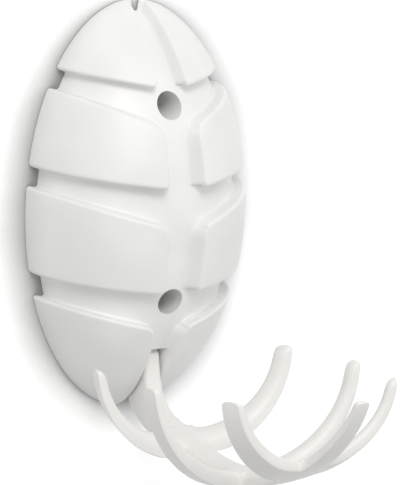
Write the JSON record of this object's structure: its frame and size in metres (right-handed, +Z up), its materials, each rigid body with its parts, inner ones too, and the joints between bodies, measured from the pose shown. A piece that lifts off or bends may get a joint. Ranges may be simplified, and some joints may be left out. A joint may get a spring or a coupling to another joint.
{
  "type": "folding wall coat rack",
  "caption": "Domed wall shell with raised panels and a branching hook frame that folds up on a hinge pin into its grooves.",
  "frame": {"origin": "on the wall plane, midway between the two wall screw holes", "axes": "+X to the right, +Y into the wall, +Z up; the shell stands out along -Y"},
  "size_m": [0.17, 0.2937, 0.3141],
  "materials": {
    "shell_plastic": "satin white moulding",
    "hook_plastic": "satin warm white moulding",
    "pin_steel": "drawn steel"
  },
  "bodies": {
    "wall_shell": {"shell": "shell_plastic", "hinge_pin": "pin_steel"},
    "hooks": {"hook_frame": "hook_plastic"}
  },
  "joints": [
    {"name": "hook_fold", "type": "hinge", "parent": "wall_shell", "child": "hooks", "pos_m": [0, -0.027, -0.1325], "axis": [-1, 0, 0], "range_deg": [0, 84.7]}
  ]
}
